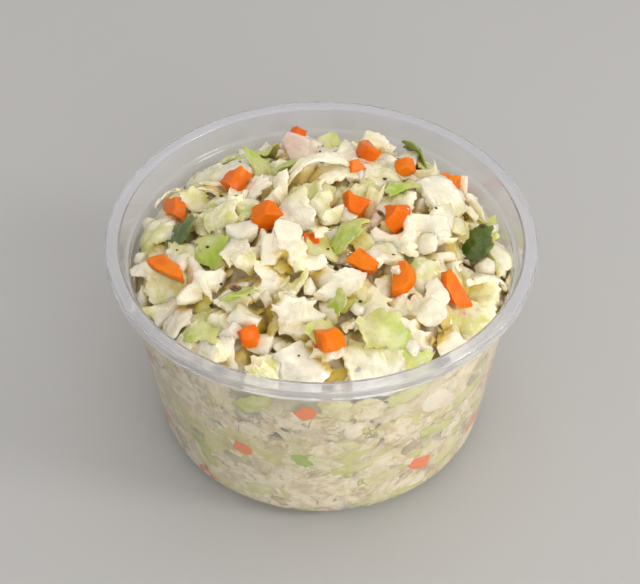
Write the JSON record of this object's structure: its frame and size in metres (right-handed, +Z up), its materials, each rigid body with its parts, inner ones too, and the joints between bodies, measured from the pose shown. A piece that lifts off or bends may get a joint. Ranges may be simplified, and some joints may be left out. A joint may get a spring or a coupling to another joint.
{
  "type": "coleslaw in a plastic cup",
  "caption": "Chopped coleslaw in creamy dressing, heaped in a round see-through plastic portion cup with a tapered wall, stacking step and turned-down rim",
  "frame": {"origin": "centre of the cup's base, on the surface it stands on", "axes": "+Z up the cup's axis; X and Y level, -Y towards the side the heap is seen from"},
  "size_m": [0.095, 0.095, 0.0587],
  "materials": {
    "cup_plastic": "see-through polypropylene, slightly milky, glossy",
    "coleslaw": null
  },
  "bodies": {
    "root": {"cup": "cup_plastic", "coleslaw": "coleslaw"}
  },
  "joints": []
}
